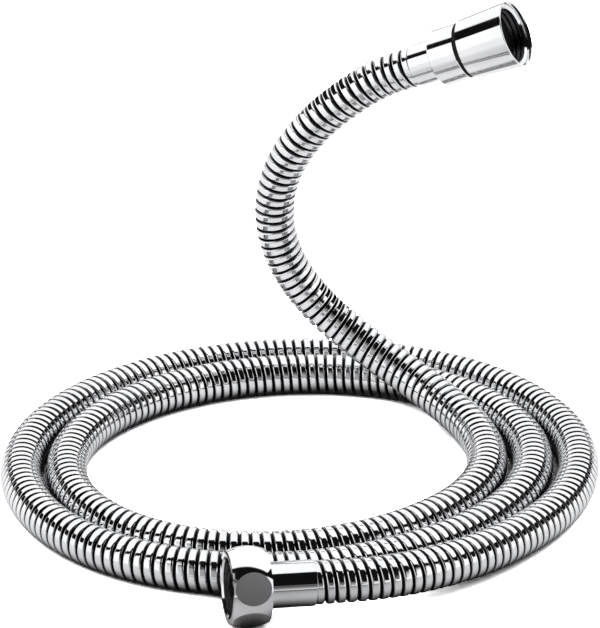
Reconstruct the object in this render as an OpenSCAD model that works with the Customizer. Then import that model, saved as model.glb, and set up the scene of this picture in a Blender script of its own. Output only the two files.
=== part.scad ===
// Chromed metal shower hose, laid in a coil with one end standing up.
// A hex nut closes the end that lies on the floor, and a swivelling cone nut
// closes the end that stands. Millimetres, +Z up, floor at Z = 0.

/* [Hose] */
// Outside diameter over the ribs of the wound casing
hose_d = 14; // [13:0.25:15]
// Depth of the grooves between the ribs
groove_depth = 0.6; // [0.3:0.05:0.8]
// Wall of the wound strip under the grooves
strip_wall = 1; // [0.9:0.05:1.2]
// Wall of the rubber tube inside the casing
tube_wall = 1.2; // [0.8:0.1:1.4]
// Radial room between the casing and the rubber tube
tube_room = 0.4; // [0.3:0.05:0.6]
// Ribs drawn on the coil
coil_ribs = 168; // [120:2:168]
// Ribs drawn on the standing end
riser_ribs = 32; // [20:2:32]

/* [Coil] */
// Radius of the hose's centre line where the coil starts
coil_r = 100; // [95:0.5:110]
// Room between one turn and the next
turn_gap = 1.6; // [1:0.1:2]
// Angle where the coil starts
start_angle = -81; // [-85:1:-75]
// Angle where the standing end leaves the coil
end_angle = 724; // [720:1:726]
// How far the coil is drawn out to an oval
oval = 3.1; // [0:0.1:4]
// Direction of the oval's long axis
oval_angle = 22; // [0:1:30]
// How far the turns bulge at the front left
lobe = 4.4; // [0:0.1:7]
// Direction of that bulge
lobe_angle = 246; // [230:1:250]
// How far the inlet end springs out of the coil
flare = 5.6; // [4:0.1:8]
// Turn of the coil over which it springs out
flare_angle = 51; // [45:1:60]
// How far the inlet end is lifted by its nut
lift = 6.2; // [6:0.05:6.5]
// Turn of the coil over which it is lifted
lift_angle = 85; // [80:1:100]

/* [Hose ends] */
// Depth of the casing in each sleeve
sleeve_grip = 5; // [4:0.5:7]
// Length of the rubber tube past the casing
tube_out = 6; // [4:0.5:7]
// Thickness of the tail's shoulder
shoulder_t = 1.5; // [1:0.1:2]
// Thickness of the rolled lip on the inlet sleeve
inlet_lip_t = 2.4; // [1.5:0.1:3]
// Thickness of the rolled lip on the outlet sleeve
outlet_lip_t = 1.5; // [1:0.1:2]
// Wall of the crimped ferrule on the rubber tube
ferrule_t = 0.8; // [0.6:0.05:0.9]
// Diameter of the water way through the tails
water_d = 5; // [3:0.25:5]
// Length of the barbed stem in the rubber tube
stem_len = 15; // [12:0.5:18]
// Number of barbs on each stem
barbs = 4; // [3:1:5]
// Diameter of the tail's neck through the lip
neck_d = 9.4; // [8:0.2:10]
// Radial room between parts that are fixed together
seat_room = 0.1; // [0.05:0.01:0.15]
// Bevel on the outside edges of the turned parts
edge_break = 0.15; // [0.1:0.05:0.2]

/* [Inlet nut] */
// Wall of the inlet sleeve over the casing
inlet_sleeve_t = 0.3; // [0.25:0.05:1]
// Hex size across the flats
nut_af = 23.5; // [23:0.25:25]
// Diameter of the barrel turned over the hex
nut_d = 25.75; // [25:0.25:27]
// How far the barrel is drawn in at its two ends
nut_crown = 1.3; // [0.8:0.1:1.8]
// Length of the nut
nut_len = 12.4; // [12:0.2:16]
// Thickness of the nut's back wall
nut_wall = 1.8; // [1.5:0.1:2.5]
// Turn of the nut about its own axis
nut_roll = 22; // [0:1:59]
// How far the nut slides on the tail
nut_play = 1.2; // [0.6:0.1:1.5]
// Thickness of the slip ring behind the flange
slip_t = 0.8; // [0.5:0.1:1.2]
// Thickness of the flange that holds the nut
flange_t = 1.6; // [1:0.1:2]
// Gap between the nut and the end of the sleeve
nut_gap = 0.3; // [0.2:0.05:0.5]

/* [Thread and washers] */
// Core diameter of the G1/2 inside thread
thread_d = 18.63; // [18.4:0.01:18.9]
// Thickness of the flat washers
washer_t = 1.8; // [1:0.1:2.5]
// Hole through the flat washers
washer_hole_d = 10.5; // [9:0.5:12]
// Radial room round the washers and the flange
washer_room = 0.25; // [0.15:0.05:0.35]
// Radial depth of the relief behind the thread
relief = 0.4; // [0.2:0.05:0.5]
// Chamfer at the mouth of the thread
mouth_chamfer = 0.6; // [0.3:0.1:1]

/* [Cone nut] */
// Wall of the outlet sleeve over the casing
outlet_sleeve_t = 0.25; // [0.25:0.05:0.9]
// Diameter of the swivel's collar
collar_d = 19.6; // [19:0.2:20]
// Length of the collar
collar_len = 10; // [9:0.1:12]
// Length of the collar over the sleeve
collar_lap = 5.3; // [4:0.1:6]
// Bevel on the collar's back edge
collar_bevel = 0.5; // [0.2:0.05:0.8]
// Width of the black ring between collar and cone nut
gap_ring_t = 1.4; // [0.8:0.1:1.6]
// Depth of the black ring under the collar
gap_ring_depth = 0.2; // [0.2:0.1:0.8]
// How far the insert and the cone nut are drawn in at the back
cone_draw = 0.6; // [0.3:0.05:0.7]
// Wall of the cone nut round its insert, at the back
cone_skin_back = 0.3; // [0.25:0.05:0.6]
// Wall of the cone nut round its insert, at the rim
cone_skin_rim = 0.75; // [0.6:0.05:1.2]
// Length of the cone nut
cone_len = 18; // [17:0.2:20]
// Thickness of the cone nut's back wall
cone_back_t = 1.2; // [0.8:0.1:1.6]
// Bevel inside the cone nut's rim
rim_bevel = 0.3; // [0.2:0.05:0.3]
// Rounding outside the cone nut's rim
rim_round = 0.25; // [0.1:0.05:0.3]
// Depth of the threaded insert behind the rim
insert_depth = 1.5; // [0.5:0.1:2]
// Wall of the threaded insert round its thread
insert_t = 1.3; // [1.2:0.05:1.8]
// Diameter of the swivel's spindle
spindle_d = 12; // [11:0.25:12.5]
// Wall of the bearing bush
bush_t = 0.9; // [0.7:0.05:1.1]
// Length of the bearing bush
bush_len = 2.5; // [2:0.1:3]
// Length of the sealed stretch after the bush
seal_len = 2.9; // [2.4:0.1:3.5]
// Thickness of the sealing ring
seal_d = 1.2; // [1:0.05:1.3]
// Thickness of the retaining clip
clip_t = 0.8; // [0.6:0.05:1]
// Depth of the room for the clip under the washer
clip_room = 3; // [2.6:0.1:3.5]
// Diameter of the room for the clip
clip_room_d = 16.4; // [16:0.2:17]
// Radial room of the running fits
run_room = 0.05; // [0.03:0.01:0.08]
// Axial room between parts that turn on each other
turn_room = 0.15; // [0.1:0.01:0.25]

/* [Standing end] */
// Direction of the cone nut seen from above
outlet_yaw = -22; // [-25:1:-15]
// Rise of the cone nut above level
outlet_pitch = 24; // [20:1:28]

/* [Hidden] */
$fn = 96;

// Centre of the coil on the floor, which puts the origin under the middle of the whole hose
coil_centre = [-3.5, 11.85, 0];
// Points that the standing end passes: angle past the end of the coil, distance outside
// the coil's own line if it ran on, and height above the coil's line
riser_points = [
    [16.5, 0.5, 1.5], [32.8, 1.2, 5.1], [48.6, 2.1, 11.4], [63.5, 3, 20.7], [76.7, 3.6, 33.2],
    [86.6, 3.2, 49.3], [91.2, 0.4, 67.9], [88.9, -4.9, 86.6], [78.7, -10.7, 103.2],
    [62.3, -13.5, 116.9], [44.7, -11, 127.4]
];
// Sides of the swept tubes, samples along each riser span, and sharpness of the bulge
tube_sides = 8;
span_samples = 12;
lobe_power = 5;
coil_sample_angle = 2;
chrome = [0.82, 0.84, 0.87];
brass = [0.78, 0.62, 0.32];
rubber = [0.09, 0.09, 0.1];
acetal = [0.9, 0.89, 0.85];
steel = [0.6, 0.62, 0.65];

// Hose section
hose_r = hose_d / 2;
groove_r = hose_r - groove_depth;
casing_bore_r = groove_r - strip_wall;
tube_r = casing_bore_r - tube_room;
tube_bore_r = tube_r - tube_wall;
// The underside is cut flat by a tenth of the diameter, so the coil lies on a face
flat_depth = hose_d / 10;
axis_z = hose_r - flat_depth;
coil_step = hose_d + turn_gap;
// A wound tube leaves its fitting straight for one diameter
straight = hose_d;
// Flat-to-centre distance of the tube's bore
stem_r = tube_bore_r * cos(180 / tube_sides) - seat_room;
barb_r = stem_r + seat_room / 2;

// Stations along both ends, outward from the end of the casing
shoulder_at = tube_out;
lip_at = shoulder_at + shoulder_t;
inlet_sleeve_end = lip_at + inlet_lip_t;
outlet_sleeve_end = lip_at + outlet_lip_t;
cavity_r = tube_r + ferrule_t + 2 * seat_room;
shoulder_r = cavity_r - seat_room;
neck_r = neck_d / 2;
lip_hole_r = neck_r + seat_room;
thread_r = thread_d / 2;
relief_r = thread_r + relief;
washer_r = thread_r - washer_room;
inlet_sleeve_r = hose_r + seat_room + inlet_sleeve_t;
outlet_sleeve_r = hose_r + seat_room + outlet_sleeve_t;

// Stations along the inlet
nut_at = inlet_sleeve_end + nut_gap;
slip_at = nut_at + nut_wall + run_room;
flange_at = slip_at + slip_t + nut_play + turn_room;
inlet_washer_at = flange_at + flange_t;
nut_mouth = nut_at + nut_len;
nut_hole_r = neck_r + 2 * turn_room;

// Stations along the outlet
collar_at = outlet_sleeve_end - collar_lap;
collar_end = collar_at + collar_len;
spindle_r = spindle_d / 2;
cone_at = collar_end + gap_ring_t + turn_room;
cone_end = cone_at + cone_len;
insert_at = cone_at + cone_back_t;
bush_end = insert_at + bush_len;
seal_end = bush_end + seal_len;
seal_at = bush_end + seal_len / 2;
clip_at = seal_end + turn_room;
washer_seat = seal_end + clip_room;
insert_end = cone_end - insert_depth;
spindle_end = clip_at + 2 * clip_t;
insert_r = thread_r + insert_t;
shell_r = insert_r + seat_room;
function shell_at(z) = shell_r - cone_draw * (cone_end - z) / (cone_end - insert_at);
bush_r = spindle_r + run_room + bush_t;
seal_bore_r = spindle_r + 3 * run_room;
seal_groove_r = seal_bore_r - seal_d - 2 * run_room;
clip_groove_r = spindle_r - clip_t;

// Vectors
function unit(v) = v / norm(v);
function flat_list(lists) = [for (l = lists) each l];

// Centre line of the coil
function flare_part(a) = flare * (1 + cos(180 * min((a - start_angle) / flare_angle, 1))) / 2;
function lobe_part(a) =
    a < lobe_angle - 180 ? 0 : lobe * pow((1 + cos(a - lobe_angle)) / 2, lobe_power);
function coil_radius(a) =
    coil_r - coil_step * (a - start_angle) / 360 + oval * cos(2 * (a - oval_angle))
    + lobe_part(a) + flare_part(a);
function coil_height(a) =
    let (t = min((a - start_angle) / lift_angle, 1)) axis_z + lift * pow(1 - t, 2) * (1 + t);
function coil_point(a) =
    coil_centre + [coil_radius(a) * cos(a), coil_radius(a) * sin(a), coil_height(a)];
function coil_direction(a) = unit(coil_point(a + 0.1) - coil_point(a - 0.1));

// Directions that the two ends face, away from the hose
inlet_dir = unit(coil_point(start_angle) - coil_point(start_angle + 0.1));
outlet_dir = [
    cos(outlet_pitch) * cos(outlet_yaw), cos(outlet_pitch) * sin(outlet_yaw), sin(outlet_pitch)
];

// Centre line of the standing end, a smooth curve through its points
coil_end = coil_point(end_angle);
coil_end_dir = coil_direction(end_angle);
function riser_point(p) =
    let (a = end_angle + p[0], r = coil_radius(a) + p[1])
    coil_centre + [r * cos(a), r * sin(a), axis_z + p[2]];
knots = concat([coil_end], [for (p = riser_points) riser_point(p)]);
last = len(knots) - 1;
lead_in = knots[1] - 2 * ((knots[1] - knots[0]) * coil_end_dir) * coil_end_dir;
lead_out = knots[last - 1] + 2 * ((knots[last] - knots[last - 1]) * outlet_dir) * outlet_dir;
curve = concat([lead_in], knots, [lead_out]);
function spline(a, b, c, d, t) =
    (2 * b + (c - a) * t + (2 * a - 5 * b + 4 * c - d) * t * t
    + (3 * b - a - 3 * c + d) * t * t * t) / 2;

inlet_end = coil_point(start_angle) + straight * inlet_dir;
outlet_end = knots[last] + straight * outlet_dir;
coil_line = concat(
    [inlet_end],
    [for (a = [start_angle : coil_sample_angle : end_angle - coil_sample_angle / 2]) coil_point(a)],
    [coil_end]
);
riser_line = concat(
    [for (i = [1 : last], k = [0 : span_samples - 1])
        spline(curve[i - 1], curve[i], curve[i + 1], curve[i + 2], k / span_samples)],
    [knots[last], outlet_end]
);

// Even stations along a line, as points
function run_lengths(line) =
    [for (i = 0, s = 0; i < len(line);
          s = s + (i + 1 < len(line) ? norm(line[i + 1] - line[i]) : 0), i = i + 1) s];
function even_points(line, count) =
    let (
        runs = run_lengths(line),
        total = runs[len(line) - 1],
        tables = [for (c = [0 : 2]) [for (i = [0 : len(line) - 1]) [runs[i], line[i][c]]]]
    )
    [for (i = [0 : count]) [for (c = [0 : 2]) lookup(total * i / count, tables[c])]];

// Every half rib has a ring: a groove, then a crown
coil_rings = 2 * coil_ribs;
riser_rings = 2 * riser_ribs;
coil_stations = even_points(coil_line, coil_rings);
riser_stations = even_points(riser_line, riser_rings);
stations = concat(coil_stations, [for (i = [1 : riser_rings]) riser_stations[i]]);
final = len(stations) - 1;
function direction_at(i) =
    i == 0 ? -inlet_dir : i == final ? outlet_dir : unit(stations[i + 1] - stations[i - 1]);
directions = [for (i = [0 : final]) direction_at(i)];

// Frames carried along the line without twist
function across(v, d) = unit(v - (v * d) * d);
normals = [for (i = 0, n = across([0, 0, 1], directions[0]); i <= final;
                n = i < final ? across(n, directions[i + 1]) : n, i = i + 1) n];
function ring(i, r, floor_z) =
    let (n = normals[i], b = cross(directions[i], n))
    [for (k = [0 : tube_sides - 1])
        let (
            a = (k + 0.5) * 360 / tube_sides,
            p = stations[i] + r * (cos(a) * n + sin(a) * b)
        )
        [p.x, p.y, max(p.z, floor_z)]];

// Least room between two stretches of hose that lie beside each other
apart = ceil(5 * hose_d / norm(coil_stations[1] - coil_stations[0]));
least_gap = min([for (i = [0 : 2 : final - apart], j = [i + apart : 2 : final])
    norm(stations[i] - stations[j])]) - hose_d;
hose_length = run_lengths(coil_line)[len(coil_line) - 1] + run_lengths(riser_line)[len(riser_line) - 1];
echo(least_gap = least_gap, hose_length = hose_length);

// Closed tube from rings of its outside and rings of its bore
module tube_between(outer, bore) {
    sides = tube_sides;
    base = len(outer) * sides;
    points = concat(flat_list(outer), flat_list(bore));
    function next(k) = (k + 1) % sides;
    outer_last = (len(outer) - 1) * sides;
    bore_last = base + (len(bore) - 1) * sides;
    skin = [for (i = [0 : len(outer) - 2], k = [0 : sides - 1])
        let (a = i * sides + k, b = i * sides + next(k))
        each [[a, a + sides, b + sides], [a, b + sides, b]]];
    lining = [for (i = [0 : len(bore) - 2], k = [0 : sides - 1])
        let (a = base + i * sides + k, b = base + i * sides + next(k))
        each [[a, b + sides, a + sides], [a, b, b + sides]]];
    start_face = [for (k = [0 : sides - 1])
        each [[k, next(k), base + next(k)], [k, base + next(k), base + k]]];
    end_face = [for (k = [0 : sides - 1])
        each [
            [outer_last + k, bore_last + next(k), outer_last + next(k)],
            [outer_last + k, bore_last + k, bore_last + next(k)]
        ]];
    polyhedron(points, concat(skin, lining, start_face, end_face));
}

// Wound casing between two stations, with a rib on every second ring
module casing(from, to) {
    outer = [for (i = [from : to]) ring(i, (i - from) % 2 == 1 ? hose_r : groove_r, 0)];
    bore = [for (i = [from : 4 : to]) ring(i, casing_bore_r, -hose_r)];
    color(chrome) tube_between(outer, bore);
}

// Places what is drawn along +Z at an end of the casing
module along(origin, dir) {
    translate(origin)
        rotate([0, acos(dir.z), atan2(dir.y, dir.x)])
            children();
}
module at_inlet() { along(inlet_end, inlet_dir) children(); }
module at_outlet() { along(outlet_end, outlet_dir) children(); }

// Round ring from one station to another
module round_ring(outer_r, inner_r, from, to) {
    translate([0, 0, from])
        difference() {
            cylinder(r = outer_r, h = to - from);
            translate([0, 0, -1]) cylinder(r = inner_r, h = to - from + 2);
        }
}

// Turned sleeve that grips the casing and is rolled in over the tail
module sleeve(sleeve_r, end) {
    rotate_extrude()
        polygon([
            [hose_r + seat_room, -sleeve_grip], [sleeve_r - edge_break, -sleeve_grip],
            [sleeve_r, edge_break - sleeve_grip], [sleeve_r, end - edge_break],
            [sleeve_r - edge_break, end], [lip_hole_r, end], [lip_hole_r, lip_at],
            [cavity_r, lip_at], [cavity_r, 0], [hose_r + seat_room, 0]
        ]);
}

// Ferrule pressed round the rubber tube
module ferrule() {
    round_ring(tube_r + seat_room + ferrule_t, tube_r + seat_room, 0, tube_out);
}

// Barbed stem and shoulder that both tails share, as half a section
function stem_section() = concat(
    [for (i = [0 : barbs - 1])
        let (pitch = stem_len / barbs, from = shoulder_at - stem_len + i * pitch)
        each [[stem_r - seat_room, from], [barb_r, from + pitch * 0.8], [stem_r - seat_room, from + pitch * 0.8]]],
    [
        [stem_r - seat_room, shoulder_at], [shoulder_r, shoulder_at], [shoulder_r, lip_at], [neck_r, lip_at]
    ]
);
module turned_tail(head, head_end) {
    rotate_extrude()
        polygon(concat(
            [[water_d / 2, shoulder_at - stem_len]],
            stem_section(),
            head,
            [[water_d / 2, head_end]]
        ));
}

module hose_coil() { casing(0, coil_rings); }

module hose_riser() { casing(coil_rings, final); }

module inner_tube() {
    inner = [for (i = [0 : 4 : final]) i];
    function end_ring(origin, i, r) = [for (p = ring(i, r, -hose_r)) p + origin];
    function tube_rings(r) = concat(
        [end_ring(tube_out * inlet_dir, 0, r)],
        [for (i = inner) ring(i, r, -hose_r)],
        [end_ring(tube_out * outlet_dir, final, r)]
    );
    color(rubber) tube_between(tube_rings(tube_r), tube_rings(tube_bore_r));
}

module inlet_sleeve() { color(chrome) at_inlet() sleeve(inlet_sleeve_r, inlet_sleeve_end); }

module inlet_ferrule() { color(steel) at_inlet() ferrule(); }

module inlet_tail() {
    color(brass) at_inlet()
        turned_tail([
            [neck_r, flange_at], [washer_r, flange_at],
            [washer_r, inlet_washer_at]
        ], inlet_washer_at);
}

module inlet_slip_ring() {
    color(acetal) at_inlet() round_ring(washer_r, nut_hole_r, slip_at, slip_at + slip_t);
}

module hex_nut() {
    barrel_r = (pow(nut_len / 2, 2) + nut_crown * nut_crown) / (2 * nut_crown);
    color(chrome) at_inlet() rotate([0, 0, nut_roll]) translate([0, 0, nut_at])
        difference() {
            intersection() {
                cylinder(d = nut_af / cos(30), h = nut_len, $fn = 6);
                rotate_extrude()
                    intersection() {
                        translate([nut_d / 2 - barrel_r, nut_len / 2]) circle(r = barrel_r);
                        square([nut_d, nut_len]);
                    }
            }
            translate([0, 0, -1]) cylinder(r = nut_hole_r, h = nut_len);
            translate([0, 0, nut_wall]) cylinder(r = thread_r, h = nut_len);
            translate([0, 0, nut_wall])
                cylinder(r = relief_r, h = inlet_washer_at + washer_t - nut_at - nut_wall);
            translate([0, 0, nut_len - mouth_chamfer])
                cylinder(r1 = thread_r, r2 = thread_r + 2 * mouth_chamfer, h = 2 * mouth_chamfer);
        }
}

module inlet_washer() {
    color(rubber) at_inlet()
        round_ring(washer_r, washer_hole_d / 2, inlet_washer_at, inlet_washer_at + washer_t);
}

module outlet_sleeve() { color(chrome) at_outlet() sleeve(outlet_sleeve_r, outlet_sleeve_end); }

module outlet_ferrule() { color(steel) at_outlet() ferrule(); }

module outlet_tail() {
    half = seal_d / 2 + run_room;
    color(brass) at_outlet()
        turned_tail([
            [neck_r, outlet_sleeve_end], [spindle_r, outlet_sleeve_end],
            [spindle_r, seal_at - half], [seal_groove_r, seal_at - half],
            [seal_groove_r, seal_at + half], [spindle_r, seal_at + half],
            [spindle_r, clip_at - run_room], [clip_groove_r, clip_at - run_room],
            [clip_groove_r, clip_at + clip_t + run_room], [spindle_r, clip_at + clip_t + run_room],
            [spindle_r, spindle_end]
        ], spindle_end);
}

module swivel_collar() {
    collar_r = collar_d / 2;
    lap_r = outlet_sleeve_r + seat_room;
    bore_r = spindle_r + seat_room;
    color(chrome) at_outlet()
        rotate_extrude()
            polygon([
                [lap_r, collar_at], [collar_r - collar_bevel, collar_at],
                [collar_r, collar_at + collar_bevel], [collar_r, collar_end - edge_break],
                [collar_r - edge_break, collar_end], [bore_r, collar_end],
                [bore_r, outlet_sleeve_end], [lap_r, outlet_sleeve_end]
            ]);
}

module gap_ring() {
    color(rubber) at_outlet()
        round_ring(collar_d / 2 - gap_ring_depth, spindle_r + seat_room, collar_end, collar_end + gap_ring_t);
}

module swivel_bush() {
    color(acetal) at_outlet()
        round_ring(bush_r, spindle_r + run_room, insert_at, bush_end - run_room);
}

module swivel_seal() {
    color(rubber) at_outlet() translate([0, 0, seal_at])
        rotate_extrude()
            translate([seal_groove_r + run_room + seal_d / 2, 0]) circle(d = seal_d);
}

module retaining_clip() {
    color(steel) at_outlet()
        round_ring(clip_room_d / 2 - clip_t, clip_groove_r + run_room, clip_at, clip_at + clip_t);
}

module cone_nut() {
    back_r = shell_at(insert_at) + cone_skin_back;
    round_at = [shell_r + cone_skin_rim - rim_round, cone_end - rim_round];
    color(chrome) at_outlet()
        rotate_extrude()
            polygon(concat(
                [
                    [seal_bore_r, cone_at], [back_r - edge_break, cone_at],
                    [back_r, cone_at + edge_break]
                ],
                [for (a = [0 : 22.5 : 90]) round_at + rim_round * [cos(a), sin(a)]],
                [
                    [shell_r + rim_bevel, cone_end], [shell_at(cone_end - rim_bevel), cone_end - rim_bevel],
                    [shell_at(insert_at), insert_at], [seal_bore_r, insert_at]
                ]
            ));
}

module thread_insert() {
    color(chrome) at_outlet()
        rotate_extrude()
            polygon([
                [bush_r + seat_room, insert_at], [shell_at(insert_at) - seat_room, insert_at],
                [shell_at(insert_end) - seat_room, insert_end],
                [thread_r + mouth_chamfer, insert_end], [thread_r, insert_end - mouth_chamfer],
                [thread_r, washer_seat + washer_t], [relief_r, washer_seat + washer_t],
                [relief_r, washer_seat], [clip_room_d / 2, washer_seat], [clip_room_d / 2, seal_end],
                [seal_bore_r, seal_end], [seal_bore_r, bush_end], [bush_r + seat_room, bush_end]
            ]);
}

module outlet_washer() {
    color(rubber) at_outlet()
        round_ring(washer_r, washer_hole_d / 2, washer_seat, washer_seat + washer_t);
}

hose_coil();
hose_riser();
inner_tube();
inlet_sleeve();
inlet_ferrule();
inlet_tail();
inlet_slip_ring();
hex_nut();
inlet_washer();
outlet_sleeve();
outlet_ferrule();
outlet_tail();
swivel_collar();
gap_ring();
swivel_bush();
swivel_seal();
retaining_clip();
cone_nut();
thread_insert();
outlet_washer();
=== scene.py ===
# Chromed metal shower hose: looks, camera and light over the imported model.
import math

import bpy
import numpy as np
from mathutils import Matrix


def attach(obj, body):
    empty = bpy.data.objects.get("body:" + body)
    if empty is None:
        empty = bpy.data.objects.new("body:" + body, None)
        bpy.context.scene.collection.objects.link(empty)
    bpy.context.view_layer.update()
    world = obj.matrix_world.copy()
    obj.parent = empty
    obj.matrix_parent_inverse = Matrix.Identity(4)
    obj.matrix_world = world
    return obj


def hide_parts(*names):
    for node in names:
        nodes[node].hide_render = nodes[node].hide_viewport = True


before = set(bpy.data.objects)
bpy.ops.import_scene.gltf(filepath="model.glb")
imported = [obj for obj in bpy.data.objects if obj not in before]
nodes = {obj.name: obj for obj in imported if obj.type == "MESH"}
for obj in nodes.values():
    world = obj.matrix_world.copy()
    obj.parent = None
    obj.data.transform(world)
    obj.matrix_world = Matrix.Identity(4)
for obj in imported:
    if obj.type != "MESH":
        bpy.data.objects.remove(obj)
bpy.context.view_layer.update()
scene = bpy.context.scene
MM = 0.001

# Camera at the photograph's viewing angle, for a frame of 600 by 628 pixels
PHOTO_H = 628
FOCAL_PX = 3487.0
SENSOR_MM = 36.0
CAMERA_MM = (-2.9, -1074.87, 507.14)
CAMERA_PITCH = 22.314
CAMERA_YAW = 0.147
CLIP_NEAR = 0.05
CLIP_FAR = 50.0

camera_data = bpy.data.cameras.new("photo_camera")
camera_data.sensor_width = SENSOR_MM
camera_data.lens = FOCAL_PX * SENSOR_MM / PHOTO_H
camera_data.clip_start = CLIP_NEAR
camera_data.clip_end = CLIP_FAR
camera = bpy.data.objects.new("photo_camera", camera_data)
camera.location = [v * MM for v in CAMERA_MM]
camera.rotation_euler = (math.radians(90 - CAMERA_PITCH), 0.0, math.radians(-CAMERA_YAW))
scene.collection.objects.link(camera)
scene.camera = camera
scene.view_settings.view_transform = "Standard"

# Hose route in millimetres and degrees, from the same values as the solids
HOSE_R = 7.0
AXIS_Z = 5.6
STRAIGHT = 14.0
COIL_CENTRE = np.array([-3.5, 11.85, 0.0])
COIL_R = 100.0
COIL_STEP = 15.6
START_ANGLE = -81.0
END_ANGLE = 724.0
OVAL = 3.1
OVAL_ANGLE = 22.0
LOBE = 4.4
LOBE_ANGLE = 246.0
LOBE_POWER = 5
FLARE = 5.6
FLARE_ANGLE = 51.0
LIFT = 6.2
LIFT_ANGLE = 85.0
RISER_EASE = 40.0
OUTLET_YAW = -22.0
OUTLET_PITCH = 24.0
# Angle past the coil's end, way outwards and height of the points of the standing end
RISER_POINTS = (
    (16.5, 0.5, 1.5), (32.8, 1.2, 5.1), (48.6, 2.1, 11.4), (63.5, 3, 20.7), (76.7, 3.6, 33.2),
    (86.6, 3.2, 49.3), (91.2, 0.4, 67.9), (88.9, -4.9, 86.6), (78.7, -10.7, 103.2),
    (62.3, -13.5, 116.9), (44.7, -11, 127.4),
)
# The round hose rests on its crowns, a little above the flat-bottomed solid,
# and meets the inlet fitting in the same place and direction
ROUND_LIFT = LIFT + AXIS_Z - HOSE_R
ROUND_LIFT_ANGLE = LIFT_ANGLE * ROUND_LIFT / LIFT
# How finely the route is drawn
DIRECTION_STEP = 0.1
COIL_ANGLE_STEP = 0.5
SPLINE_STEPS = 40
LINE_POINTS = 3000


def cosd(a):
    return math.cos(math.radians(a))


def sind(a):
    return math.sin(math.radians(a))


def unit(v):
    return v / np.linalg.norm(v)


def coil_radius(a):
    turned = a - START_ANGLE
    r = COIL_R - COIL_STEP * turned / 360 + OVAL * cosd(2 * (a - OVAL_ANGLE))
    if a >= LOBE_ANGLE - 180:
        r += LOBE * ((1 + cosd(a - LOBE_ANGLE)) / 2) ** LOBE_POWER
    return r + FLARE * (1 + cosd(180 * min(turned / FLARE_ANGLE, 1))) / 2


def around_coil(a, r, z):
    return COIL_CENTRE + np.array([r * cosd(a), r * sind(a), z])


def coil_point(a):
    t = min((a - START_ANGLE) / ROUND_LIFT_ANGLE, 1)
    return around_coil(a, coil_radius(a), HOSE_R + ROUND_LIFT * (1 - t) ** 2 * (1 + t))


def riser_point(turned, outwards, height):
    a = END_ANGLE + turned
    # The round hose comes down to its crowns where the riser leaves the coil
    ease = (HOSE_R - AXIS_Z) * max(1 - turned / RISER_EASE, 0)
    return around_coil(a, coil_radius(a) + outwards, AXIS_Z + ease + height)


def spline(a, b, c, d, t):
    flat = 2 * b + (c - a) * t
    return (flat + (2 * a - 5 * b + 4 * c - d) * t ** 2 + (3 * b - a - 3 * c + d) * t ** 3) / 2


inlet_start = coil_point(START_ANGLE)
inlet_dir = unit(inlet_start - coil_point(START_ANGLE + DIRECTION_STEP))
inlet_end = inlet_start + STRAIGHT * inlet_dir
outlet_dir = np.array([
    cosd(OUTLET_PITCH) * cosd(OUTLET_YAW), cosd(OUTLET_PITCH) * sind(OUTLET_YAW), sind(OUTLET_PITCH),
])
coil_end_dir = unit(coil_point(END_ANGLE + DIRECTION_STEP) - coil_point(END_ANGLE - DIRECTION_STEP))
knots = [coil_point(END_ANGLE)] + [riser_point(*p) for p in RISER_POINTS]
lead_in = knots[1] - 2 * np.dot(knots[1] - knots[0], coil_end_dir) * coil_end_dir
lead_out = knots[-2] + 2 * np.dot(knots[-1] - knots[-2], outlet_dir) * outlet_dir
curve = [lead_in] + knots + [lead_out]
outlet_end = knots[-1] + STRAIGHT * outlet_dir

rough_line = [inlet_end]
rough_line += [coil_point(a) for a in np.arange(START_ANGLE, END_ANGLE, COIL_ANGLE_STEP)]
for i in range(1, len(knots)):
    rough_line += [spline(*curve[i - 1:i + 3], k / SPLINE_STEPS) for k in range(SPLINE_STEPS)]
rough_line += [knots[-1], outlet_end]


def resample(points, count):
    steps = np.linalg.norm(np.diff(points, axis=0), axis=1)
    runs = np.concatenate([[0.0], np.cumsum(steps)])
    at = np.linspace(0, runs[-1], count)
    return np.stack([np.interp(at, runs, points[:, c]) for c in range(3)], 1), runs[-1]


line, HOSE_LENGTH = resample(np.array(rough_line), LINE_POINTS)
line_s = np.linspace(0, HOSE_LENGTH, LINE_POINTS)
tangents = np.gradient(line, axis=0)
tangents[0] = -inlet_dir
tangents[-1] = outlet_dir
tangents /= np.linalg.norm(tangents, axis=1)[:, None]
normals = np.zeros_like(line)
carried = np.array([0.0, 0.0, 1.0])
for i in range(LINE_POINTS):
    carried = unit(carried - np.dot(carried, tangents[i]) * tangents[i])
    normals[i] = carried
binormals = np.cross(tangents, normals)


def on_hose(s, phi, r):
    # Points round the hose at distance s along it, also past its straight ends
    inside = np.clip(s, 0, HOSE_LENGTH)
    over = s - inside

    def along(table):
        return np.stack([np.interp(inside, line_s, table[:, c]) for c in range(3)], -1)

    point = along(line) + over[..., None] * along(tangents)
    side = np.cos(phi)[..., None] * along(normals) + np.sin(phi)[..., None] * along(binormals)
    return point + np.asarray(r)[..., None] * side


def ring_angles(sides):
    return 2 * math.pi * np.arange(sides) / sides


def between_rings(first, second, sides):
    # Faces from one ring of points to another, each ring given by its first point
    ring = []
    for j in range(sides):
        n = (j + 1) % sides
        ring.append((first + j, first + n, second + n, second + j))
    return ring


def mesh_piece(name, verts, faces, material, body):
    mesh = bpy.data.meshes.new(name)
    mesh.from_pydata([tuple(v) for v in np.asarray(verts) * MM], [], faces)
    mesh.validate()
    mesh.polygons.foreach_set("use_smooth", [True] * len(mesh.polygons))
    mesh.update()
    piece = bpy.data.objects.new(name, mesh)
    scene.collection.objects.link(piece)
    piece.data.materials.append(material)
    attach(piece, body)
    return piece


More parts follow.
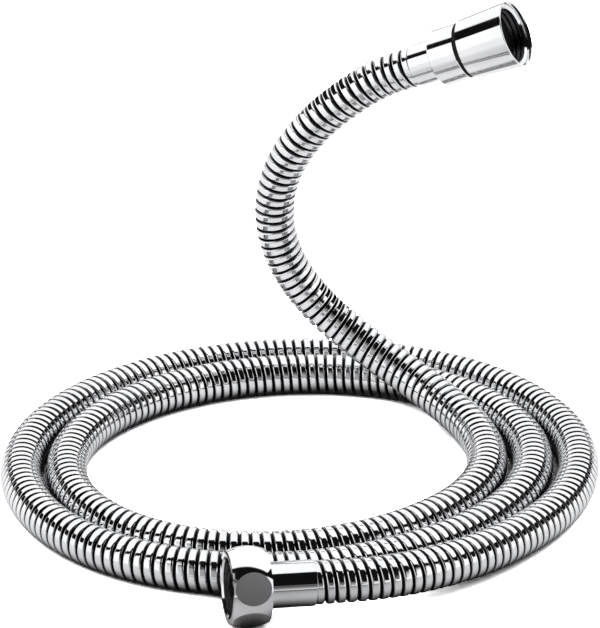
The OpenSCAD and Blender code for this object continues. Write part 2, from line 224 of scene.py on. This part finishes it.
# Materials
# Most noise values lie between these two
NOISE_LOW = 0.35
NOISE_HIGH = 0.65
BLOOM_SCALE = 55.0
SMEAR_SCALE = 160.0
GRAIN_STRENGTH = 0.35
GRAIN_HEIGHT = 2e-6
FINER = 6
FINE_STRENGTH = 0.4
RUBBER_SHINE = 0.15


def new_material(name):
    material = bpy.data.materials.new(name)
    material.use_nodes = True
    tree = material.node_tree
    return material, tree, tree.nodes["Principled BSDF"]


def add(tree, kind, **values):
    node = tree.nodes.new(kind)
    for key, value in values.items():
        setattr(node, key, value)
    return node


def noise(tree, scale, detail):
    place = add(tree, "ShaderNodeTexCoord")
    texture = add(tree, "ShaderNodeTexNoise")
    texture.inputs["Scale"].default_value = scale
    texture.inputs["Detail"].default_value = detail
    tree.links.new(place.outputs["Object"], texture.inputs["Vector"])
    return texture.outputs["Fac"]


def ramp(tree, factor, low, high, start=NOISE_LOW, end=NOISE_HIGH):
    node = add(tree, "ShaderNodeMapRange")
    node.inputs["From Min"].default_value = start
    node.inputs["From Max"].default_value = end
    node.inputs["To Min"].default_value = low
    node.inputs["To Max"].default_value = high
    tree.links.new(factor, node.inputs["Value"])
    return node.outputs["Result"]


def tint(tree, factor, dark, light):
    node = add(tree, "ShaderNodeValToRGB")
    node.color_ramp.elements[0].position = NOISE_LOW
    node.color_ramp.elements[0].color = (*dark, 1)
    node.color_ramp.elements[1].position = NOISE_HIGH
    node.color_ramp.elements[1].color = (*light, 1)
    tree.links.new(factor, node.inputs["Fac"])
    return node.outputs["Color"]


def bump(tree, shader, height, strength, distance):
    node = add(tree, "ShaderNodeBump")
    node.inputs["Strength"].default_value = strength
    node.inputs["Distance"].default_value = distance
    tree.links.new(height, node.inputs["Height"])
    tree.links.new(node.outputs["Normal"], shader.inputs["Normal"])


def metal(name, dark, light, rough, grain_scale):
    material, tree, shader = new_material(name)
    shader.inputs["Metallic"].default_value = 1.0
    bloom = noise(tree, BLOOM_SCALE, detail=4.0)
    tree.links.new(tint(tree, bloom, dark, light), shader.inputs["Base Color"])
    smear = noise(tree, SMEAR_SCALE, detail=6.0)
    tree.links.new(ramp(tree, smear, *rough), shader.inputs["Roughness"])
    bump(tree, shader, noise(tree, grain_scale, detail=3.0), GRAIN_STRENGTH, GRAIN_HEIGHT)
    return material


def plain(name, dark, light, rough, scale, fine_height):
    material, tree, shader = new_material(name)
    cloud = noise(tree, scale, detail=5.0)
    tree.links.new(tint(tree, cloud, dark, light), shader.inputs["Base Color"])
    fine = noise(tree, scale * FINER, detail=6.0)
    tree.links.new(ramp(tree, fine, *rough), shader.inputs["Roughness"])
    bump(tree, shader, fine, FINE_STRENGTH, fine_height)
    return material


chrome = metal(
    "bright_chrome", (0.80, 0.81, 0.83), (0.88, 0.885, 0.90), rough=(0.025, 0.07), grain_scale=60.0)
casing_chrome = metal(
    "wound_chrome", (0.78, 0.79, 0.81), (0.87, 0.875, 0.89), rough=(0.03, 0.08), grain_scale=240.0)
# Near-black metal, a painted shade for the bore of the threaded insert
bore_painted_shade_metal = metal(
    "insert_bore_painted_shade", (0.030, 0.030, 0.032), (0.060, 0.060, 0.064), rough=(0.25, 0.40), grain_scale=200.0)
brass = metal(
    "turned_brass", (0.34, 0.25, 0.10), (0.48, 0.36, 0.16), rough=(0.22, 0.40), grain_scale=300.0)
steel = metal(
    "pressed_steel", (0.42, 0.43, 0.45), (0.56, 0.57, 0.59), rough=(0.22, 0.38), grain_scale=300.0)
black_rubber = plain(
    "black_rubber", (0.010, 0.010, 0.011), (0.020, 0.020, 0.021), rough=(0.55, 0.75),
    scale=260.0, fine_height=2e-5)
black_rubber.node_tree.nodes["Principled BSDF"].inputs["Specular IOR Level"].default_value = RUBBER_SHINE
tube_rubber = plain(
    "tube_rubber", (0.022, 0.022, 0.024), (0.035, 0.035, 0.038), rough=(0.45, 0.65),
    scale=180.0, fine_height=2e-5)
acetal = plain(
    "white_acetal", (0.68, 0.67, 0.62), (0.78, 0.77, 0.73), rough=(0.35, 0.5),
    scale=200.0, fine_height=1e-5)

# Painted shade: a vertex colour darkens the grooves and shoulders of the wound strip, its ends and its
# bore
tree = casing_chrome.node_tree
shader = tree.nodes["Principled BSDF"]
crown_colour = shader.inputs["Base Color"].links[0].from_socket
painted_shade_colour = add(tree, "ShaderNodeVertexColor", layer_name="groove")
shade = add(tree, "ShaderNodeMix", data_type="RGBA", blend_type="MULTIPLY")
shade.inputs["Factor"].default_value = 1.0
tree.links.new(crown_colour, shade.inputs["A"])
tree.links.new(painted_shade_colour.outputs["Color"], shade.inputs["B"])
tree.links.new(shade.outputs["Result"], shader.inputs["Base Color"])

NODE_MATERIALS = {
    "inlet_sleeve": chrome, "hex_nut": chrome, "outlet_sleeve": chrome, "swivel_collar": chrome,
    "cone_nut": chrome, "inlet_tail": brass, "outlet_tail": brass,
    "inlet_washer": black_rubber, "outlet_washer": black_rubber, "swivel_seal": black_rubber,
    "gap_ring": black_rubber, "inlet_slip_ring": acetal, "swivel_bush": acetal,
    "inlet_ferrule": steel, "outlet_ferrule": steel, "retaining_clip": steel,
}
for node_name, node_material in NODE_MATERIALS.items():
    slots = nodes[node_name].data.materials
    slots.clear()
    slots.append(node_material)

# Wound casing: one strip runs round the hose in a helix
TURNS = 411
PITCH = HOSE_LENGTH / TURNS
AROUND = 40
CASING_BORE_R = 5.4
BORE_ROWS = 300
NEAR_END = 1e-6
# The strip's crown is flat in its middle and rounds off to the groove on both sides
CROWN_SHARE = 0.44
CROWN_FLAT = 0.5
CROWN_DROP = 0.85
CROWN_POWER = 2.2
GROOVE_DEPTH = 1.0
# Points across the crown from its middle, as a share of half its width, and their brightness, a painted
# shade that darkens towards the groove
CROWN = (
    (0.0, 1.0), (0.35, 1.0), (0.5, 1.0), (0.63, 1.0),
    (0.74, 0.95), (0.83, 0.28), (0.9, 0.01), (1.0, 0.002),
)
# Painted shade in the groove, on the end rings and in the bore
GROOVE_PAINTED_SHADE = 0.01
END_PAINTED_SHADE = 0.1
BORE_PAINTED_SHADE = 0.3


def crown_r(u):
    return HOSE_R - CROWN_DROP * (max(u - CROWN_FLAT, 0) / (1 - CROWN_FLAT)) ** CROWN_POWER


# Place across one turn of the strip, radius and brightness of the painted shade
half = [(u, crown_r(u), painted_shade) for u, painted_shade in CROWN]
STRIP = [(0.0, HOSE_R - GROOVE_DEPTH, GROOVE_PAINTED_SHADE)]
STRIP += [(0.5 - CROWN_SHARE * u, r, painted_shade) for u, r, painted_shade in reversed(half)]
STRIP += [(0.5 + CROWN_SHARE * u, r, painted_shade) for u, r, painted_shade in half[1:]]


def wound_casing():
    across = len(STRIP)
    share, radius, strip_painted_shade = np.array(STRIP).T
    # Rows follow the strip's edges, and one way round the hose leads a full turn further on
    last = (TURNS + 2) * across
    row = np.arange(last + 1)
    base = row // across - 1 + share[row % across]
    k = np.arange(AROUND)
    s = (base[:, None] + k[None, :] / AROUND) * PITCH
    # Points past an end of the hose fall together on that end's ring
    before = s <= NEAR_END
    past = s >= HOSE_LENGTH - NEAR_END
    free = ~(before | past)
    ids = np.zeros(s.shape, int)
    ids[before] = np.broadcast_to(k, s.shape)[before]
    ids[past] = np.broadcast_to(AROUND + k, s.shape)[past]
    ids[free] = 2 * AROUND + np.arange(free.sum())
    ring_phi = ring_angles(AROUND)
    low = np.full(AROUND, radius.min())
    start_ring = on_hose(np.zeros(AROUND), ring_phi, low)
    end_ring = on_hose(np.full(AROUND, HOSE_LENGTH), ring_phi, low)
    phi = np.broadcast_to(ring_phi, s.shape)
    r = np.broadcast_to(radius[row % across][:, None], s.shape)
    painted_shade = np.broadcast_to(strip_painted_shade[row % across][:, None], s.shape)
    body = on_hose(s[free], phi[free], r[free])
    faces = []
    for i in range(last):
        for j in range(AROUND):
            if j + 1 < AROUND:
                right = (ids[i, j + 1], ids[i + 1, j + 1])
            else:
                right = (ids[min(i + across, last), 0], ids[min(i + 1 + across, last), 0])
            face = []
            for v in (ids[i, j], right[0], right[1], ids[i + 1, j]):
                if int(v) not in face:
                    face.append(int(v))
            if len(face) > 2:
                faces.append(face)
    # Smooth bore and the two ends
    bore_first = 2 * AROUND + len(body)
    bore_last = bore_first + (BORE_ROWS - 1) * AROUND
    bore_s = np.repeat(np.linspace(0, HOSE_LENGTH, BORE_ROWS), AROUND)
    bore = on_hose(bore_s, np.tile(ring_phi, BORE_ROWS), np.full(len(bore_s), CASING_BORE_R))
    for here in range(bore_first, bore_last, AROUND):
        faces += between_rings(here + AROUND, here, AROUND)
    faces += between_rings(bore_first, 0, AROUND)
    faces += between_rings(AROUND, bore_last, AROUND)
    verts = np.concatenate([start_ring, end_ring, body, bore])
    # Painted shade: the end rings and the bore are darkened too
    painted_shades = np.concatenate([
        np.full(2 * AROUND, END_PAINTED_SHADE), painted_shade[free], np.full(len(bore), BORE_PAINTED_SHADE),
    ])
    return verts, faces, painted_shades


verts, faces, painted_shades = wound_casing()
casing = mesh_piece("wound_casing", verts, faces, casing_chrome, "hose")
groove = casing.data.color_attributes.new("groove", "FLOAT_COLOR", "POINT")
groove.data.foreach_set("color", np.stack([painted_shades, painted_shades, painted_shades, np.ones(len(painted_shades))], 1).ravel())
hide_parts("hose_coil", "hose_riser")

# Rubber tube inside the casing, a little longer at each end
TUBE_OUT = 6.0
TUBE_R = 5.0
TUBE_BORE_R = 3.8
TUBE_ROWS = 420
TUBE_SIDES = 24


def rubber_tube():
    at = np.repeat(np.linspace(-TUBE_OUT, HOSE_LENGTH + TUBE_OUT, TUBE_ROWS), TUBE_SIDES)
    phi = np.tile(ring_angles(TUBE_SIDES), TUBE_ROWS)
    outer = on_hose(at, phi, np.full(len(at), TUBE_R))
    inner = on_hose(at, phi, np.full(len(at), TUBE_BORE_R))
    base = len(outer)
    end = base - TUBE_SIDES
    faces = []
    for here in range(0, end, TUBE_SIDES):
        after = here + TUBE_SIDES
        faces += between_rings(here, after, TUBE_SIDES)
        faces += between_rings(base + after, base + here, TUBE_SIDES)
    faces += between_rings(base, 0, TUBE_SIDES)
    faces += between_rings(end, base + end, TUBE_SIDES)
    return np.concatenate([outer, inner]), faces


verts, faces = rubber_tube()
lining = mesh_piece("rubber_lining", verts, faces, tube_rubber, "hose")
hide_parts("inner_tube")

# Threaded insert of the cone nut, with its thread cut into the bore
THREAD_PITCH = 1.814
THREAD_CREST = 9.315
THREAD_ROOT = 9.95
THREAD_FROM = 26.65
THREAD_TO = 31.15
THREAD_FADE = 0.6
THREAD_ROWS = 36
THREAD_SIDES = 72
SHARP_FROM = math.radians(35)
# Stations along the outlet and radii of the insert's section, before and after the thread
SECTION_OUT = ((16.45, 7.05), (16.45, 10.015), (31.75, 10.561), (31.75, 9.915))
SECTION_IN = (
    (26.65, 9.715), (24.85, 9.715), (24.85, 8.2), (21.85, 8.2),
    (21.85, 6.15), (18.95, 6.15), (18.95, 7.05),
)


def threaded_insert():
    phi = ring_angles(THREAD_SIDES)
    rows = [(z, np.full(THREAD_SIDES, r)) for z, r in SECTION_OUT]
    for z in np.linspace(THREAD_TO, THREAD_FROM, THREAD_ROWS):
        wave = np.abs(((z / THREAD_PITCH - phi / (2 * math.pi)) % 1) * 2 - 1)
        fade = min(1, (THREAD_TO - z) / THREAD_FADE, (z - THREAD_FROM) / THREAD_FADE)
        rows.append((z, THREAD_CREST + (THREAD_ROOT - THREAD_CREST) * wave * fade))
    rows += [(z, np.full(THREAD_SIDES, r)) for z, r in SECTION_IN]
    verts = np.concatenate([on_hose(np.full(THREAD_SIDES, HOSE_LENGTH + z), phi, r) for z, r in rows])
    faces = []
    for i in range(len(rows)):
        after = (i + 1) % len(rows)
        faces += between_rings(i * THREAD_SIDES, after * THREAD_SIDES, THREAD_SIDES)
    return verts, faces


verts, faces = threaded_insert()
insert = mesh_piece("threaded_insert", verts, faces, chrome, "cone")
# The front ring is bright chrome, and the bore behind it is near-black metal as painted shade
insert.data.materials.append(bore_painted_shade_metal)
bright_faces = len(SECTION_OUT) * THREAD_SIDES
for face in insert.data.polygons[bright_faces:]:
    face.material_index = 1
insert.data.set_sharp_from_angle(angle=SHARP_FROM)
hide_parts("thread_insert")


# Floor and light
def math_node(tree, kind, a, b=None):
    node = add(tree, "ShaderNodeMath", operation=kind)
    for slot, value in enumerate((a, b)):
        if isinstance(value, (int, float)):
            node.inputs[slot].default_value = value
        elif value is not None:
            tree.links.new(value, node.inputs[slot])
    return node.outputs[0]


def occlusion_painted_shade(tree, reach, *levels):
    # Painted shade: a level that drops where nearby things close over the point
    node = add(tree, "ShaderNodeAmbientOcclusion")
    node.inputs["Distance"].default_value = reach
    return ramp(tree, node.outputs["AO"], *levels)


def camera_or_rest(tree, to_rest, to_camera):
    rays = add(tree, "ShaderNodeLightPath")
    mix = add(tree, "ShaderNodeMixShader")
    tree.links.new(rays.outputs["Is Camera Ray"], mix.inputs[0])
    tree.links.new(to_rest.outputs[0], mix.inputs[1])
    tree.links.new(to_camera.outputs[0], mix.inputs[2])
    return mix.outputs[0]


FLOOR = 6.0
# Reflected, the floor carries painted light and shade: a painted shadow greyest in front of the nut,
# painted shade dark under the strands, and a painted glow bright far out.
# Each row holds the first and last level, and the distances or openness where they are reached.
PAINTED_SHADOW_SPOT = (0.02, -0.25, 0.0)
NEAR_PAINTED_SHADOW = (0.10, 0.95, 0.02, 0.165)
FAR_PAINTED_GLOW = (0.0, 0.36, 0.10, 0.28)
OPEN_REACH = 0.028
OPEN_FLOOR_PAINTED_SHADE = (0.03, 1.0, 0.33, 0.78)
# Seen by the camera it is pure white paper, with painted shade only where the strands close over it
PAPER_REACH = 0.015
WHITE_PAPER_PAINTED_SHADE = (0.05, 16.0, 0.15, 0.45)

floor_mesh = bpy.data.meshes.new("floor")
floor_mesh.from_pydata(
    [(-FLOOR, -FLOOR, 0), (FLOOR, -FLOOR, 0), (FLOOR, FLOOR, 0), (-FLOOR, FLOOR, 0)], [], [(0, 1, 2, 3)])
floor = bpy.data.objects.new("floor", floor_mesh)
scene.collection.objects.link(floor)
paper = bpy.data.materials.new("pale_paper")
paper.use_nodes = True
tree = paper.node_tree
tree.nodes.clear()
place = add(tree, "ShaderNodeTexCoord")
to_spot = add(tree, "ShaderNodeVectorMath", operation="DISTANCE")
to_spot.inputs[1].default_value = PAINTED_SHADOW_SPOT
tree.links.new(place.outputs["Object"], to_spot.inputs[0])
away = to_spot.outputs["Value"]
open_floor_painted_shade = occlusion_painted_shade(tree, OPEN_REACH, *OPEN_FLOOR_PAINTED_SHADE)
grey = add(tree, "ShaderNodeBsdfDiffuse")
# Painted shadow, greyest around a spot in front of the nut, times the painted shade
near_painted_shadow = math_node(tree, "MULTIPLY", ramp(tree, away, *NEAR_PAINTED_SHADOW), open_floor_painted_shade)
tree.links.new(near_painted_shadow, grey.inputs["Color"])
glow = add(tree, "ShaderNodeEmission")
# Painted glow, rising far out, dimmed by the painted shade
far_painted_glow = math_node(tree, "MULTIPLY", ramp(tree, away, *FAR_PAINTED_GLOW), open_floor_painted_shade)
tree.links.new(far_painted_glow, glow.inputs["Strength"])
reflected = add(tree, "ShaderNodeAddShader")
tree.links.new(grey.outputs[0], reflected.inputs[0])
tree.links.new(glow.outputs[0], reflected.inputs[1])
pale = add(tree, "ShaderNodeBsdfDiffuse")
# Painted shade from occlusion on the paper seen by the camera
tree.links.new(occlusion_painted_shade(tree, PAPER_REACH, *WHITE_PAPER_PAINTED_SHADE), pale.inputs["Color"])
out = add(tree, "ShaderNodeOutputMaterial")
tree.links.new(camera_or_rest(tree, reflected, pale), out.inputs["Surface"])
floor_mesh.materials.append(paper)

# White ceiling panel with a dark rim, white walls, and a dark opening in front
TENT = 1.5
DARKNESS = 0.995
# Left, right, near and far edge of the panel and of its rim, seen from below, and how the sides spread
PANEL = (-1.15, 1.15, -0.094, 5.5)
PANEL_SPREAD = (0.118, 0.288)
RIM = (-2.4, 3.0, -0.40, 12.0)
RIM_SPREAD = (0.30, 0.40)
PANEL_EDGE = 0.04
LEAST_UP = 0.02
# Lowest height of the opening, how much lower it lies to the right, and its sides
OPENING_FROM = math.radians(33.5)
OPENING_TO = math.radians(90)
OPENING_LEANS = math.radians(-38)
OPENING_LEFT = -0.42
OPENING_RIGHT = 0.75
EDGE = math.radians(3)
SIDE_EDGE = 0.06
# The walls are greyer low down in front, and white again towards both sides
GREY_LEADS = math.radians(0.75)
GREY_WALL = (0.06, 0.50, math.radians(3), math.radians(15))
GREY_HALF = 0.55
GREY_SIDE_EDGE = 0.15
GREY_BACK_EDGE = 0.3

world = bpy.data.worlds.new("studio")
scene.world = world
world.use_nodes = True
sky = world.node_tree
sky.nodes.clear()


def plus(a, b):
    return math_node(sky, "ADD", a, b)


def minus(a, b):
    return math_node(sky, "SUBTRACT", a, b)


def times(first, *others):
    product = first
    for other in others:
        product = math_node(sky, "MULTIPLY", product, other)
    return product


def soft_step(value, width):
    node = add(sky, "ShaderNodeMapRange", interpolation_type="SMOOTHSTEP")
    node.inputs["From Min"].default_value = -width
    node.inputs["From Max"].default_value = width
    sky.links.new(value, node.inputs["Value"])
    return node.outputs["Result"]


where = add(sky, "ShaderNodeTexCoord")
split = add(sky, "ShaderNodeSeparateXYZ")
sky.links.new(where.outputs["Generated"], split.inputs[0])
east, north, up = split.outputs["X"], split.outputs["Y"], split.outputs["Z"]
front = times(north, -1.0)
over = math_node(sky, "MAXIMUM", up, LEAST_UP)
plan_x = math_node(sky, "DIVIDE", east, over)
plan_y = math_node(sky, "DIVIDE", north, over)


def inside_box(box, spread):
    left, right, near, far = box
    from_left = plus(plan_x, times(plan_y, spread[0]))
    from_right = minus(plan_x, times(plan_y, spread[1]))
    return times(
        soft_step(minus(from_left, left), PANEL_EDGE),
        soft_step(minus(right, from_right), PANEL_EDGE),
        soft_step(minus(plan_y, near), PANEL_EDGE),
        soft_step(minus(far, plan_y), PANEL_EDGE),
    )


panel = inside_box(PANEL, PANEL_SPREAD)
rim = inside_box(RIM, RIM_SPREAD)
height = math_node(sky, "ARCTAN2", up, front)
bottom = plus(times(east, OPENING_LEANS), OPENING_FROM)
opening = times(
    soft_step(minus(height, bottom), EDGE),
    soft_step(minus(OPENING_TO, height), EDGE),
    soft_step(minus(east, OPENING_LEFT), SIDE_EDGE),
    soft_step(minus(OPENING_RIGHT, east), SIDE_EDGE),
)
dark = times(math_node(sky, "MAXIMUM", rim, opening), minus(1.0, panel))
below = minus(bottom, height)
grey_front = times(
    soft_step(plus(below, GREY_LEADS), EDGE),
    soft_step(front, GREY_BACK_EDGE),
    soft_step(minus(GREY_HALF, math_node(sky, "ABSOLUTE", east)), GREY_SIDE_EDGE),
)
grey_level = ramp(sky, below, *GREY_WALL)
walls = plus(times(minus(1.0, grey_front), TENT), times(grey_front, grey_level))
tent = add(sky, "ShaderNodeBackground")
sky.links.new(times(walls, minus(1.0, times(dark, DARKNESS))), tent.inputs["Strength"])
white = add(sky, "ShaderNodeBackground")
out = add(sky, "ShaderNodeOutputWorld")
sky.links.new(camera_or_rest(sky, tent, white), out.inputs["Surface"])

bpy.context.view_layer.update()
